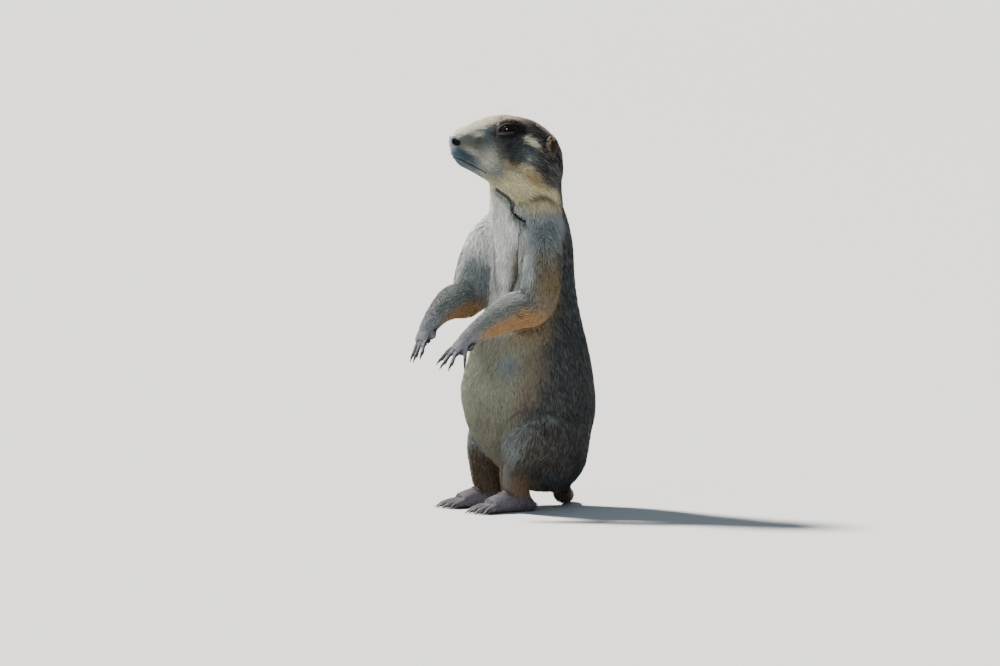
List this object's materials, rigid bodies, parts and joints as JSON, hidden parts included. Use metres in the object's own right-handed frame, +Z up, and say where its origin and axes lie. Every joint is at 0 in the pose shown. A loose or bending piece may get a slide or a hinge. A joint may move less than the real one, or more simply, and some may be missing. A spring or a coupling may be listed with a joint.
{
  "type": "standing prairie dog",
  "caption": "Life-size model of a prairie dog standing upright on its hind feet and tail, arms held forward, head turned to its right.",
  "frame": {"origin": "centre of the footprint's bounding box, at the level of the soles", "axes": "+Z up; the hips and chest face about -Y, with the animal's left side to +X; the head is turned 36 degrees to its right, towards -X"},
  "size_m": [0.1116, 0.1568, 0.2896],
  "materials": {
    "crown": "short soft fur, reddish tan with dark hair tips",
    "throat": "short soft fur, cream to white",
    "breast": "short soft fur, white in front and dark grizzled brown behind",
    "belly": "short soft fur, buff in front and dark grizzled brown behind",
    "arm_fur": "short soft fur, pale grey above and orange buff below",
    "leg_fur": "short soft fur, brown and grizzled",
    "hand_skin": "very short fur over skin, pads bare and dark",
    "tail_fur": "short bushy fur, dark brown with a black tip",
    "ear_skin": "thin skin with very short fur",
    "nose_skin": "bare dark skin, slightly moist",
    "eye_gloss": "glossy, near black",
    "claw_horn": "smooth dark horn"
  },
  "bodies": {
    "root": {"abdomen": "belly", "chest": "breast", "ear_left": "ear_skin", "ear_right": "ear_skin", "eye_left": "eye_gloss", "eye_right": "eye_gloss", "foot_left": "hand_skin", "foot_left_claw_1": "claw_horn", "foot_left_claw_2": "claw_horn", "foot_left_claw_3": "claw_horn", "foot_left_claw_4": "claw_horn", "foot_left_claw_5": "claw_horn", "foot_right": "hand_skin", "foot_right_claw_1": "claw_horn", "foot_right_claw_2": "claw_horn", "foot_right_claw_3": "claw_horn", "foot_right_claw_4": "claw_horn", "foot_right_claw_5": "claw_horn", "forearm_left": "arm_fur", "forearm_right": "arm_fur", "hand_left": "hand_skin", "hand_left_claw_1": "claw_horn", "hand_left_claw_2": "claw_horn", "hand_left_claw_3": "claw_horn", "hand_left_claw_4": "claw_horn", "hand_right": "hand_skin", "hand_right_claw_1": "claw_horn", "hand_right_claw_2": "claw_horn", "hand_right_claw_3": "claw_horn", "hand_right_claw_4": "claw_horn", "head": "crown", "neck": "throat", "nose": "nose_skin", "shank_left": "leg_fur", "shank_right": "leg_fur", "tail": "tail_fur", "thigh_left": "leg_fur", "thigh_right": "leg_fur", "upper_arm_left": "arm_fur", "upper_arm_right": "arm_fur"}
  },
  "joints": []
}
